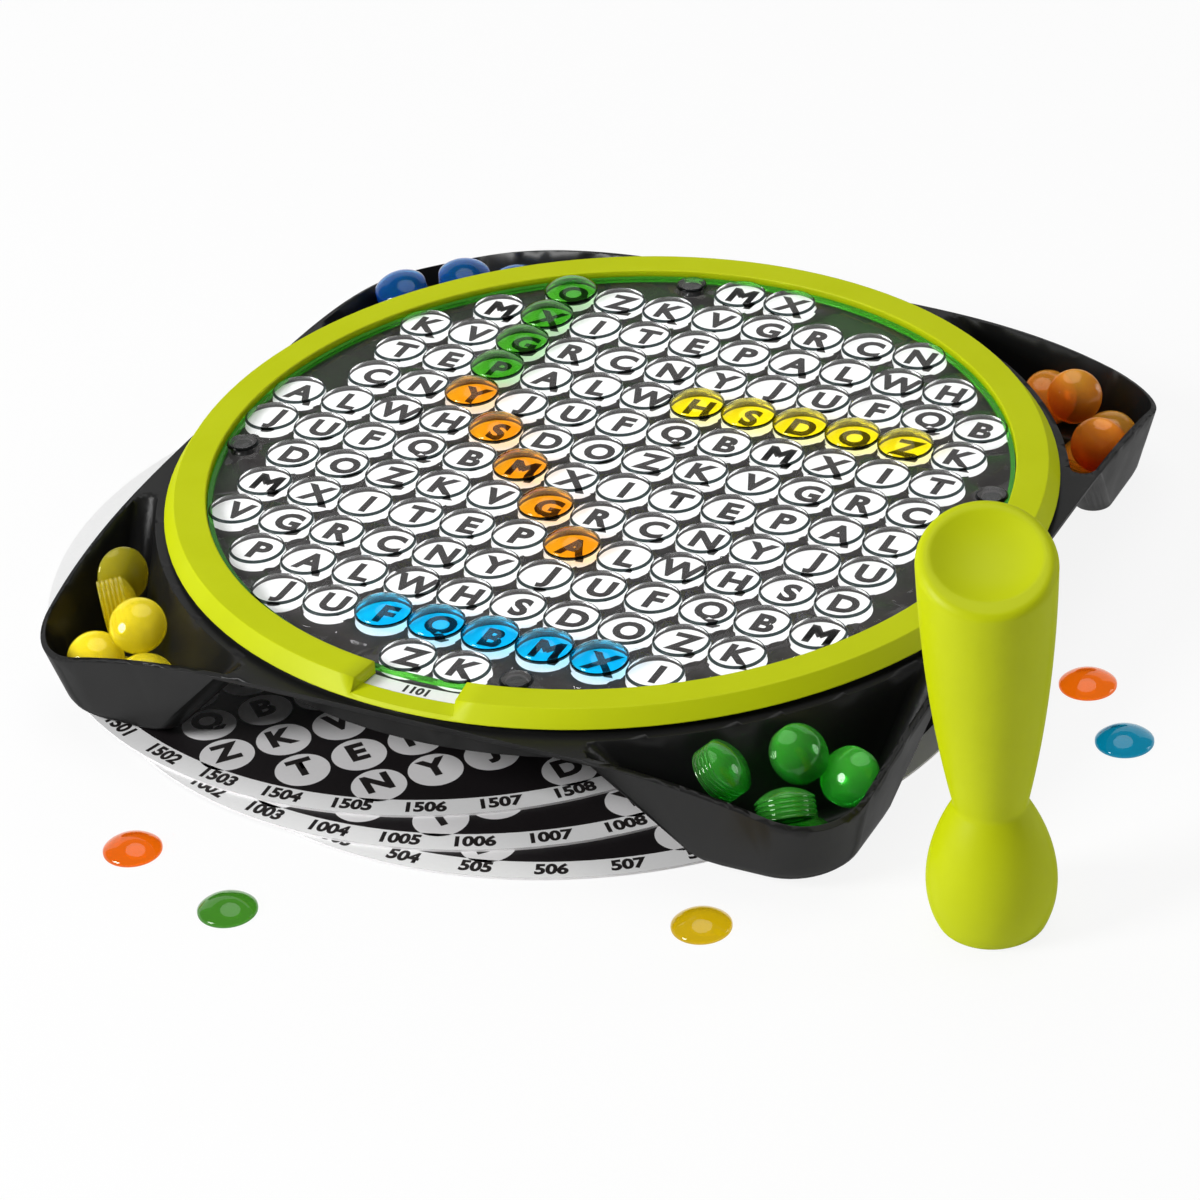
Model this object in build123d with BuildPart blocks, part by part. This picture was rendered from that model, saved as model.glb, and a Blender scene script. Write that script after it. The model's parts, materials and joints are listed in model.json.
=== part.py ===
"""Letter grid board game: square tray, turning ring, clear cover, puzzle discs, tokens and totem.

Millimetres, +Z up. The origin is the turning axis of the ring on the table top.
Rows of cells run along X, and the ring's window is on the -Y side.
"""

import os
from math import atan2, cos, degrees, hypot, radians, sin, sqrt

from build123d import *

os.makedirs("parts", exist_ok=True)

# Grid of cells, counted in each quarter of the board from the middle row outwards
cell_pitch = 15.0
row_cell_counts = (7, 6, 6, 6, 5, 4, 1)

# Printed discs
disc_thickness = 0.6
spare_disc_count = 3
label_width = 4.8
peg_hole_gap = 0.3

# Clear cover with a raised cup over every cell
sheet_thickness = 1.0
cup_height = 2.0
cup_gap = 0.5
cover_lip_width = 1.2
cover_lip_height = 1.2
boss_diameter = 8.6
boss_roof = 0.9

# Turning ring
running_clearance = 0.3
label_clearance = 0.6
ring_top_width = 8.4
ring_flare = 2.9
ring_proud = 1.0
ring_edge_radius = 0.4
window_half_angle = 7.0
window_ledge_depth = 3.2

# Square tray
base_height = 29.6
seat_step = 1.3
seat_inset = 1.7
seat_thickness = 3.2
deck_thickness = 1.8
drum_depth = 9.0
drum_inset = 2.0
drum_wall = 2.5
tray_wall = 1.6
tray_ledge = 2.5
tray_floor = 1.8
tray_inset = 7.5
corner_radius = 20.0
tray_end_radius = 3.5
tray_outer_round = 4.0
tray_inner_round = 2.5
tray_round_steps = 4
rim_sweep_radius = 70.0
peg_diameter = 5.0
peg_rise = 2.2
foot_diameter = 14.0
foot_spread = 39.0

# Tokens: thin domed shells that nest in each other
token_gap = 0.3
token_rise = 3.5
token_wall = 0.9
token_rim = 0.5
nest_gap = 0.25

# Totem
totem_height = 101.0
totem_foot_radius = 12.5
totem_bulge_radius = 15.4
totem_waist_radius = 8.7
totem_body_radius = 12.9
totem_shoulder_radius = 15.3
totem_top_radius = 16.2
totem_bulge_height_share = 0.11
totem_hip_height_share = 0.235
totem_hip_radius_share = 0.87
totem_waist_height_share = 0.335
totem_body_height_share = 0.57
totem_shoulder_height_share = 0.80
totem_top_slant = 22.5
totem_top_heading = -62.0
totem_dish_radius = 30.0
totem_dish_margin = 3.4
totem_dish_edge_radius = 2.4
totem_edge_radius = 2.6
totem_foot_round = 2.0
totem_waist_round = 2.5

cut_overrun = 5.0

# Sizes that follow from the ones above
half_pitch = cell_pitch / 2
cup_radius = (cell_pitch - cup_gap) / 2
token_radius = (cell_pitch - token_gap) / 2
far_cell = hypot((row_cell_counts[0] - 1) * cell_pitch + half_pitch, half_pitch)
cover_radius = far_cell + token_radius
ring_inner_radius = cover_radius + running_clearance
disc_radius = ring_inner_radius + label_width
ring_top_radius = ring_inner_radius + ring_top_width
ring_skirt_radius = ring_top_radius + ring_flare
label_pocket_radius = disc_radius + label_clearance
base_half_width = ring_skirt_radius
seat_radius = ring_skirt_radius - seat_inset
drum_radius = seat_radius - drum_inset
tray_arc_radius = ring_skirt_radius + tray_ledge
peg_column = half_pitch + cell_pitch
peg_row = far_cell
peg_circle = hypot(peg_column, peg_row)
peg_angle = degrees(atan2(-peg_row, peg_column))
peg_hole_radius = peg_diameter / 2 + peg_hole_gap

# Heights above the table
base_bottom_z = spare_disc_count * disc_thickness
rim_z = base_bottom_z + base_height
seat_z = rim_z + seat_step
disc_top_z = seat_z + disc_thickness
sheet_top_z = disc_top_z + sheet_thickness
cup_top_z = sheet_top_z + cup_height
ring_top_z = cup_top_z + ring_proud
drum_bottom_z = rim_z - drum_depth
tray_floor_z = base_bottom_z + tray_floor


def cell_places():
    """Centres of all the cells, mirrored into the four quarters."""
    places = []
    for row, count in enumerate(row_cell_counts):
        for column in range(count):
            x = half_pitch + column * cell_pitch
            y = half_pitch + row * cell_pitch
            places += [(x, y), (-x, y), (-x, -y), (x, -y)]
    return places


def tray_outline(height, inset, skin):
    """Corner of a square outside a circle, drawn in by an inset and a skin, with rounded corners."""
    with BuildSketch(Plane.XY.offset(height)) as outline:
        half_width = base_half_width - skin - inset
        Rectangle(half_width, half_width, align=(Align.MIN, Align.MIN))
        Circle(tray_arc_radius - tray_wall + skin + inset, mode=Mode.SUBTRACT)
        diagonal = Axis((0, 0, 0), (1, 1, 0))
        fillet(outline.vertices().sort_by(diagonal)[-1:], corner_radius - skin - inset / 2)
        fillet(outline.vertices().sort_by(diagonal)[:2], tray_end_radius + tray_wall - skin)
    return outline.sketch.face()


def tray_outlines(bottom_z, bottom_round, skin):
    """Outlines from the rim down the drafted wall and round into the floor."""
    outlines = [tray_outline(rim_z, 0, skin)]
    for step in range(tray_round_steps + 1):
        angle = radians(90) * step / tray_round_steps
        height = bottom_z + bottom_round * (1 - sin(angle))
        draft_inset = tray_inset * (rim_z - height) / base_height
        outlines.append(tray_outline(height, draft_inset + bottom_round * (1 - cos(angle)), skin))
    return outlines


def save(builder, name):
    """Label a finished piece and write it under its name."""
    builder.part.label = name
    export_step(builder.part, f"parts/{name}.step")


# Outer shell of one corner tray, drafted all round and rounded underneath
with BuildPart() as tray_shell:
    loft(tray_outlines(base_bottom_z, tray_outer_round, 0), ruled=True)

# Hollow of one corner tray, carried on upwards past the rim
with BuildPart() as tray_hollow:
    loft(tray_outlines(tray_floor_z, tray_inner_round, tray_wall), ruled=True)
    extrude(tray_outline(rim_z, 0, tray_wall), amount=cut_overrun)

# Space above the rim, which sweeps down towards the four corners
with BuildPart() as rim_sweep:
    sweep_end = ring_skirt_radius + rim_sweep_radius * sin(radians(45))
    sweep_drop = rim_sweep_radius * (1 - cos(radians(45)))
    with BuildSketch(Plane.XZ):
        with BuildLine():
            Line((ring_skirt_radius, rim_z + cut_overrun), (ring_skirt_radius, rim_z))
            RadiusArc(
                (ring_skirt_radius, rim_z),
                (sweep_end, rim_z - sweep_drop),
                rim_sweep_radius,
            )
            Polyline(
                (sweep_end, rim_z - sweep_drop),
                (sweep_end, rim_z + cut_overrun),
                (ring_skirt_radius, rim_z + cut_overrun),
            )
        make_face()
    revolve(axis=Axis.Z)

# Square tray: deck, round seat, drum wall, corner trays, pegs and feet in one moulding
wall_draft = degrees(atan2(tray_inset, base_height))
with BuildPart() as base_tray:
    with BuildSketch(Plane.XY.offset(rim_z)):
        RectangleRounded(2 * base_half_width, 2 * base_half_width, corner_radius)
    extrude(amount=-deck_thickness, taper=wall_draft)
    with PolarLocations(0, 4):
        add(tray_shell.part)
    with BuildSketch(Plane.XY.offset(seat_z)):
        Circle(seat_radius)
    extrude(amount=-seat_thickness)
    with BuildSketch(Plane.XY.offset(drum_bottom_z)):
        Circle(drum_radius)
        Circle(drum_radius - drum_wall, mode=Mode.SUBTRACT)
    extrude(amount=seat_z - seat_thickness - drum_bottom_z)
    with BuildSketch(Plane.XY.offset(base_bottom_z)):
        with GridLocations(2 * foot_spread, 2 * foot_spread, 2, 2):
            Circle(foot_diameter / 2)
    extrude(amount=seat_z - seat_thickness - base_bottom_z)
    add(rim_sweep.part, mode=Mode.SUBTRACT)
    with PolarLocations(0, 4):
        add(tray_hollow.part, mode=Mode.SUBTRACT)
    with BuildSketch(Plane.XY.offset(seat_z)):
        with PolarLocations(peg_circle, 4, start_angle=peg_angle):
            Circle(peg_diameter / 2)
    extrude(amount=peg_rise)
save(base_tray, "base_tray")

# Puzzle disc, lying centred on the XY plane with holes for the pegs
with BuildPart() as disc_blank:
    with BuildSketch():
        Circle(disc_radius)
        with PolarLocations(peg_circle, 4, start_angle=peg_angle):
            Circle(peg_hole_radius, mode=Mode.SUBTRACT)
    extrude(amount=disc_thickness)

with BuildPart() as puzzle_disc:
    with Locations((0, 0, seat_z)):
        add(disc_blank.part)
save(puzzle_disc, "puzzle_disc")

# Spare discs fanned out under the tray, lowest first: centre in disc radii, and turn
spare_disc_shares = ((0.0, -0.215), (-0.20, -0.19), (-0.36, -0.12))
spare_disc_turns = (46.0, 50.0, 48.0)
for layer in range(spare_disc_count):
    x_share, y_share = spare_disc_shares[layer % len(spare_disc_shares)]
    turn = spare_disc_turns[layer % len(spare_disc_turns)]
    place = (x_share * disc_radius, y_share * disc_radius, layer * disc_thickness)
    with BuildPart() as spare_disc:
        with Locations(Location(place, (0, 0, turn))):
            add(disc_blank.part)
    save(spare_disc, f"spare_disc_{layer + 1}")

# One raised cup
with BuildPart() as cup:
    with BuildSketch(Plane.XY.offset(disc_top_z)):
        Circle(cup_radius)
    extrude(amount=sheet_thickness + cup_height)

# Clear cover: sheet, lip, cups and the four bosses that take the pegs
with BuildPart() as clear_cover:
    with BuildSketch(Plane.XY.offset(disc_top_z)):
        Circle(cover_radius)
    extrude(amount=sheet_thickness)
    with Locations(*cell_places()):
        add(cup.part)
    with BuildSketch(Plane.XY.offset(sheet_top_z)):
        with PolarLocations(peg_circle, 4, start_angle=peg_angle):
            Circle(boss_diameter / 2)
    extrude(amount=cup_height)
    with BuildSketch(Plane.XY.offset(sheet_top_z)):
        Circle(cover_radius)
        Circle(cover_radius - cover_lip_width, mode=Mode.SUBTRACT)
    extrude(amount=cover_lip_height)
    with BuildSketch(Plane.XY.offset(disc_top_z)):
        Circle(cover_radius)
    extrude(amount=sheet_thickness + cup_height, mode=Mode.INTERSECT)
    with BuildSketch(Plane.XY.offset(disc_top_z)):
        with PolarLocations(peg_circle, 4, start_angle=peg_angle):
            Circle(peg_hole_radius)
    extrude(amount=sheet_thickness + cup_height - boss_roof, mode=Mode.SUBTRACT)
save(clear_cover, "clear_cover")

# Turning ring with a window over the disc's rim
ring_foot_z = seat_z + running_clearance
ring_under_z = disc_top_z + running_clearance
with BuildPart() as turning_ring:
    with BuildSketch(Plane.XZ):
        with BuildLine():
            Polyline(
                (ring_inner_radius, ring_under_z),
                (ring_inner_radius, ring_top_z),
                (ring_top_radius, ring_top_z),
                (ring_skirt_radius, ring_foot_z),
                (label_pocket_radius, ring_foot_z),
                (label_pocket_radius, ring_under_z),
                close=True,
            )
        make_face()
    revolve(axis=Axis.Z)
    fillet(turning_ring.faces().sort_by(Axis.Z)[-1].edges(), ring_edge_radius)
    window_reach = 2 * ring_skirt_radius
    window_corners = [
        (window_reach * sin(radians(side)), -window_reach * cos(radians(side)))
        for side in (-window_half_angle, window_half_angle)
    ]
    with BuildSketch(Plane.XY.offset(ring_foot_z)):
        with BuildLine():
            Polyline((0, 0), *window_corners, close=True)
        make_face()
        Circle(label_pocket_radius, mode=Mode.INTERSECT)
    extrude(amount=ring_top_z - ring_foot_z + cut_overrun, mode=Mode.SUBTRACT)
    with BuildSketch(Plane.XY.offset(ring_top_z - window_ledge_depth)):
        with BuildLine():
            Polyline((0, 0), *window_corners, close=True)
        make_face()
    extrude(amount=window_ledge_depth + cut_overrun, mode=Mode.SUBTRACT)
save(turning_ring, "turning_ring")

# Token: a shell of even upright thickness, so that tokens nest
dome_rise = token_rise - token_rim
dome_radius = (token_radius**2 + dome_rise**2) / (2 * dome_rise)


def dome_drop(radius):
    """How far the dome lies below its top at a radius."""
    return dome_radius - sqrt(dome_radius**2 - radius**2)


hollow_rise = token_rise - token_wall
hollow_radius = sqrt(dome_radius**2 - (dome_radius - hollow_rise) ** 2)
with BuildPart() as token:
    with BuildSketch(Plane.XZ):
        with BuildLine():
            Polyline((hollow_radius, 0), (token_radius, 0), (token_radius, token_rim))
            ThreePointArc(
                (token_radius, token_rim),
                (token_radius / 2, token_rise - dome_drop(token_radius / 2)),
                (0, token_rise),
            )
            Line((0, token_rise), (0, hollow_rise))
            ThreePointArc(
                (0, hollow_rise),
                (hollow_radius / 2, hollow_rise - dome_drop(hollow_radius / 2)),
                (hollow_radius, 0),
            )
        make_face()
    revolve(axis=Axis.Z)

# Tokens laid on the cover, by column and row of the grid from the middle
laid_tokens = {
    "blue": [(column, -6) for column in (-2, -1, 1, 2, 3)],
    "yellow": [(column, 3) for column in (1, 2, 3, 4, 5)],
    "green": [(-4, row) for row in (6, 5, 4, 3)],
    "orange": [(-4, 2), (-3, 1), (-2, -1), (-1, -2), (1, -3)],
}


def cell_centre(index):
    """Distance from the middle to a row or column counted 1, 2, 3 or -1, -2, -3."""
    side = 1 if index > 0 else -1
    return index * cell_pitch - side * half_pitch


for colour, cells in laid_tokens.items():
    for number, (column, row) in enumerate(cells, start=1):
        with BuildPart() as laid_token:
            with Locations((cell_centre(column), cell_centre(row), cup_top_z)):
                add(token.part)
        save(laid_token, f"{colour}_token_{number}")

# Tokens lying by themselves on the table, in half widths of the tray
loose_token_shares = {
    "loose_orange_token_1": (-0.50, -1.30),
    "loose_green_token": (-0.205, -1.41),
    "loose_yellow_token": (0.725, -1.10),
    "loose_orange_token_2": (1.135, 0.0),
    "loose_blue_token": (1.285, -0.175),
}
for name, (x_share, y_share) in loose_token_shares.items():
    with BuildPart() as loose_token:
        with Locations((x_share * base_half_width, y_share * base_half_width, 0)):
            add(token.part)
    save(loose_token, name)

# Heaps in the corner trays, built of nested stacks. Each stack is written as radial, tangential and
# height shares of the token's diameter, a count, a tilt and the tilt's heading from the tray's diagonal
heap_shares = {
    "green_heap": (
        -45.0,
        (
            (1.16, 0.00, 0.02, 5, 0, 0),
            (0.52, -1.22, 1.40, 5, 48, 60),
            (0.90, 1.02, 0.98, 3, 45, 300),
            (0.50, 0.21, 1.40, 3, 45, 20),
            (1.50, -0.34, 0.90, 5, 42, 170),
        ),
    ),
    "yellow_heap": (
        225.0,
        (
            (1.16, 0.00, 0.02, 5, 0, 0),
            (1.08, -0.75, 1.20, 6, 84, 172),
            (0.52, -1.55, 1.30, 1, 70, 110),
            (0.80, 1.00, 0.71, 2, 20, 90),
            (0.65, 0.12, 1.24, 2, 40, 70),
            (1.46, 0.10, 0.72, 3, 40, 80),
        ),
    ),
    "orange_heap": (
        45.0,
        (
            (1.16, 0.00, 0.02, 4, 0, 0),
            (0.90, -1.00, 1.00, 3, 60, 230),
            (0.79, 1.14, 0.84, 4, 40, 270),
            (1.02, 0.40, 1.25, 2, 55, 250),
            (1.44, -0.26, 0.62, 2, 36, 240),
        ),
    ),
    "blue_heap": (
        135.0,
        (
            (1.16, 0.00, 0.02, 10, 0, 0),
            (0.78, -1.08, 0.90, 7, 5, 200),
            (0.80, 1.15, 1.15, 9, 14, 120),
            (0.69, 0.02, 1.26, 8, 8, 180),
            (1.30, 0.00, 0.85, 1, 16, 0),
        ),
    ),
}
token_diameter = 2 * token_radius
nest_step = token_wall + nest_gap


def stack_places(diagonal, stack):
    """Places of the tokens of one stack in the tray on a diagonal."""
    radial_share, tangent_share, height_share, count, tilt, heading = stack
    radial = tray_arc_radius + radial_share * token_diameter
    tangent = tangent_share * token_diameter
    along = radians(diagonal)
    lean = radians(tilt)
    towards = radians(diagonal + heading)
    axis = Vector(sin(lean) * cos(towards), sin(lean) * sin(towards), cos(lean))
    foot = Vector(
        radial * cos(along) - tangent * sin(along),
        radial * sin(along) + tangent * cos(along),
        tray_floor_z + height_share * token_diameter,
    )
    return [Plane(foot + axis * (nest_step * level), z_dir=axis).location for level in range(count)]


for name, (diagonal, stacks) in heap_shares.items():
    with BuildPart() as heap:
        for stack in stacks:
            with Locations(*stack_places(diagonal, stack)):
                add(token.part)
    save(heap, name)

# Totem: turned body with a slanted, dished top, beside the tray by a share of its half width
totem_place_shares = (1.26, -0.862)
top_lean = radians(totem_top_slant)
top_towards = radians(totem_top_heading)
top_normal = Vector(sin(top_lean) * cos(top_towards), sin(top_lean) * sin(top_towards), cos(top_lean))
top_plane = Plane((0, 0, totem_height), z_dir=top_normal)
dish_rim_radius = totem_top_radius - totem_dish_margin
dish_centre = top_plane.origin + top_normal * sqrt(totem_dish_radius**2 - dish_rim_radius**2)
with BuildPart() as totem_body:
    with BuildSketch(Plane.XZ):
        with BuildLine():
            foot_line = Spline(
                (totem_foot_radius, 0),
                (totem_bulge_radius, totem_bulge_height_share * totem_height),
                (totem_hip_radius_share * totem_bulge_radius, totem_hip_height_share * totem_height),
                (totem_waist_radius, totem_waist_height_share * totem_height),
            )
            body_line = Spline(
                foot_line @ 1,
                (totem_body_radius, totem_body_height_share * totem_height),
                (totem_shoulder_radius, totem_shoulder_height_share * totem_height),
                (totem_top_radius, totem_height),
                (totem_top_radius, totem_height + totem_top_radius),
            )
            Polyline(body_line @ 1, (0, totem_height + totem_top_radius), (0, 0), foot_line @ 0)
        make_face()
    revolve(axis=Axis.Z)
    split(bisect_by=top_plane, keep=Keep.BOTTOM)
    fillet(totem_body.edges().group_by(Axis.Z)[-1], totem_edge_radius)
    fillet(totem_body.faces().sort_by(Axis.Z)[0].edges(), totem_foot_round)
    waist_z = totem_waist_height_share * totem_height
    fillet(totem_body.edges().filter_by_position(Axis.Z, waist_z, waist_z), totem_waist_round)
    with Locations(dish_centre):
        Sphere(totem_dish_radius, mode=Mode.SUBTRACT)
    totem_lip = totem_body.faces().filter_by(GeomType.PLANE).sort_by(Axis.Z)[-1]
    fillet(totem_lip.inner_wires()[0].edges(), totem_dish_edge_radius)

with BuildPart() as totem:
    x_share, y_share = totem_place_shares
    with Locations((x_share * base_half_width, y_share * base_half_width, 0)):
        add(totem_body.part)
save(totem, "totem")
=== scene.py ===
"""Looks of a letter grid board game: printed discs, clear cover, ring, tray, tokens and totem."""

import json
import math

import bmesh
import bpy
from bpy.props import FloatProperty, FloatVectorProperty, IntProperty, PointerProperty
from mathutils import Matrix, Vector
from mathutils.geometry import delaunay_2d_cdt

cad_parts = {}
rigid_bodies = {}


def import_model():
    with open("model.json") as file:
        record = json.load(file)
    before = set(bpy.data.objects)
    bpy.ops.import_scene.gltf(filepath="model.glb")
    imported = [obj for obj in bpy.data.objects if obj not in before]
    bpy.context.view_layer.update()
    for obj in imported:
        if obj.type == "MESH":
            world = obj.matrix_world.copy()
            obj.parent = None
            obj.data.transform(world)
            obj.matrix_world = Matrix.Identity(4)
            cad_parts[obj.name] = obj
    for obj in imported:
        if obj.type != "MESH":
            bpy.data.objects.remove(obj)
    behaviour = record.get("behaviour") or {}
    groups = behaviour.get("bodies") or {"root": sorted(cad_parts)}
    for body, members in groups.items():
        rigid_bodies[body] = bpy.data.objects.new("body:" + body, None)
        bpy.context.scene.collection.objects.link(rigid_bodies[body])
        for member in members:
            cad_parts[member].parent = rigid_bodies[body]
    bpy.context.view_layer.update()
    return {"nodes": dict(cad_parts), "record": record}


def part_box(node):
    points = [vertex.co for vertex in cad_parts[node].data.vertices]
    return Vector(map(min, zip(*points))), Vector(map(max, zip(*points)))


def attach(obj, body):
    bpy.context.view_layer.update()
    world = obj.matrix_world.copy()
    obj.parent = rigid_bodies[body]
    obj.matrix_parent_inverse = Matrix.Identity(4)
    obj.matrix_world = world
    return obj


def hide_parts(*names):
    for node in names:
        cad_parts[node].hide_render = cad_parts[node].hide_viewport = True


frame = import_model()

bl_info = {
    "name": "Letter Grid Board Game",
    "version": (1, 0, 0),
    "blender": (4, 5, 0),
    "location": "View3D > Sidebar > Board Game",
    "description": "Dresses a letter grid board game with its prints, clear cover, tokens and stage",
    "category": "Object",
}

MM = 0.001

# Layout of the board and of its print
ROW_CELL_COUNTS = (7, 6, 6, 6, 5, 4, 1)
PEG_COLUMN = 1.5
PEG_COUNT = 4
ALPHABET = "ABCDEFGHIJKLMNOPQRSTUVWXYZ"
LETTERS_PER_COLUMN = 11
LETTERS_PER_ROW = 17
LETTER_WEIGHT = 0.047
NUMBER_WEIGHT = 0.045
FONT_CAP_HEIGHT = 0.7
NUMBER_PLACE_SHARE = 0.56
PUZZLE_SERIES = 11
SPARE_SERIES_STEP = 5
SPARE_TURNS = {1: math.radians(46), 2: math.radians(50), 3: math.radians(48)}
FIRST_BAND_ANGLE = math.radians(-117)
COLOURS = ("blue", "yellow", "green", "orange")

# Points on a circle and other values of the meshes
COVER_STEPS = 288
BAND_STEPS = 256
FLOOR_STEPS = 96
CIRCLE_STEPS = 48
CUP_STEPS = 40
BOSS_STEPS = 32
RECESS_STEPS = 24
CARD_STEPS = 24
BEND_STEPS = 8
CUP_EDGE_STEPS = 4
LETTER_CURVE_STEPS = 4
SMOOTH_ANGLE = math.radians(32)
MERGE_DISTANCE = 0.001 * MM
PLATE_TOLERANCE = 0.0001 * MM
HOLE_SHARE = 0.99
UPRIGHT_LIMIT = 0.3

# Values of the finishes, noise scales in cells per metre
NOISE_LOW = 0.3
NOISE_HIGH = 0.7
MOTTLE_SCALE = 60.0
GRAIN_SCALE = 3500.0
GRAIN_DEPTH = 0.05 * MM
FIBRE_SCALE = 900.0
PATCH_SCALE = 180.0
HAZE_SCALE = 250.0
HAZE_RANGE = 0.04
MOULD_SHADE = 0.9
MOULD_ROUGHNESS_RANGE = 0.04
MOULD_EDGE_RADIUS = 0.3 * MM
BEVEL_SAMPLES = 4
GRAZING_SHARE = 0.06
CARD_SHADE = 0.94
CARD_ROUGHNESS_RANGE = 0.05
# Painted light on the heaped tokens' upward faces and painted shade on their downward ones
PAINTED_LIGHT_SLOPE = 0.36
PAINTED_LIGHT_LOW = 0.28
PAINTED_LIGHT_HIGH = 0.36
COAT_ROUGHNESS = 0.04
COVER_INDEX = 1.2
LIP_CLARITY = 0.75
TOKEN_INDEX = 1.12
TOKEN_GLOSS = 0.02
TOKEN_SHADE = 0.25
LAID_COAT = 0.45
LOOSE_COAT = 0.7
RIM_INDEX = 1.2
# Share of a token's colour on its upright rim, a painted dark outline
PAINTED_RIM_SHARE = 0.06
HEAP_INDEX = 1.36
HEAP_SHADE = 0.3
HEAP_CLARITY = {"blue": 0.9, "yellow": 0.75, "green": 0.92, "orange": 0.86}

# Stage
PAPER_WHITE = (0.92, 0.92, 0.92)
PAPER_SCALE = 40.0
PAPER_SHADE = 0.98
PAPER_ROUGHNESS = 0.9
PAPER_GLOW = 0.88
FLOOR_RADIUS = 4.0
FLOOR_BEND = 0.4
FLOOR_EDGE_HEIGHT = 0.9
FLOOR_DROP = 0.2 * MM
CARD_RADIUS = 3.9
CARD_LOW = 0.9
CARD_HIGH = 3.4
CARD_HEADING = math.radians(118)
CARD_HALF_ANGLE = math.radians(50)
WORLD_STRENGTH = 0.17
CAMERA_AZIMUTH = math.radians(28.34)
CAMERA_ELEVATION = math.radians(32.44)
CAMERA_ROLL = math.radians(-4.0)
CAMERA_PLACE = (0.47090, -0.88366, 0.63197)
CAMERA_LENS = 134.1
CAMERA_SENSOR = 36.0
CAMERA_REACH = 10.0


# Settings a user would change


def length(name, default, description):
    """A length setting in metres."""
    return FloatProperty(name=name, default=default, description=description, unit="LENGTH", precision=5)


def colour(name, default, description):
    """A linear colour setting."""
    return FloatVectorProperty(
        name=name, default=default, description=description, subtype="COLOR", size=3, min=0, max=1
    )


class BoardSizes(bpy.types.PropertyGroup):
    """Sizes of the printed and clear pieces."""

    cell_pitch: length("Cell pitch", 15 * MM, "Distance between neighbouring cells")
    circle_diameter: length("Circle", 14.0 * MM, "Printed circle under each cup")
    letter_height: length("Letter height", 7.8 * MM, "Height of the capital letters")
    letter_rise: length("Letter rise", 1.25 * MM, "How far a letter stands above its circle's middle")
    label_width: length(
        "Label width", 4.7 * MM, "White band of the puzzle disc, which shows in the ring's window"
    )
    band_width: length("Band width", 6.6 * MM, "White band along the edge of a spare disc")
    number_share: FloatProperty(
        name="Numbers' share", default=0.66, description="Share of the band that a number fills"
    )
    label_numbers: IntProperty(
        name="Label numbers", default=24, description="Numbers all round the puzzle disc"
    )
    band_numbers: IntProperty(
        name="Band numbers", default=10, description="Numbers along the front of a spare disc"
    )
    band_spacing: FloatProperty(
        name="Band spacing", default=math.radians(10), description="Angle between them", subtype="ANGLE"
    )
    ink_lift: length("Ink lift", 0.03 * MM, "Height of a printed layer over the one below it")
    cover_lift: length("Cover lift", -0.02 * MM, "Clear cover over the card, below zero where it wets it")
    cup_diameter: length("Cup", 14.5 * MM, "Raised cup over each cell")
    cup_height: length("Cup height", 2.0 * MM, "Height of a cup over the sheet")
    cup_edge: length("Cup edge", 0.6 * MM, "Radius of the cup's upper edge")
    boss_diameter: length("Boss", 8.6 * MM, "Boss over each peg")
    recess_diameter: length("Recess", 5.6 * MM, "Hole in the boss for the peg")
    recess_roof: length("Recess roof", 0.9 * MM, "Plastic left over the peg")
    lip_width: length("Lip width", 1.2 * MM, "Raised lip along the edge of the clear cover")
    lip_height: length("Lip height", 1.2 * MM, "Height of that lip over the sheet")


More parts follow.
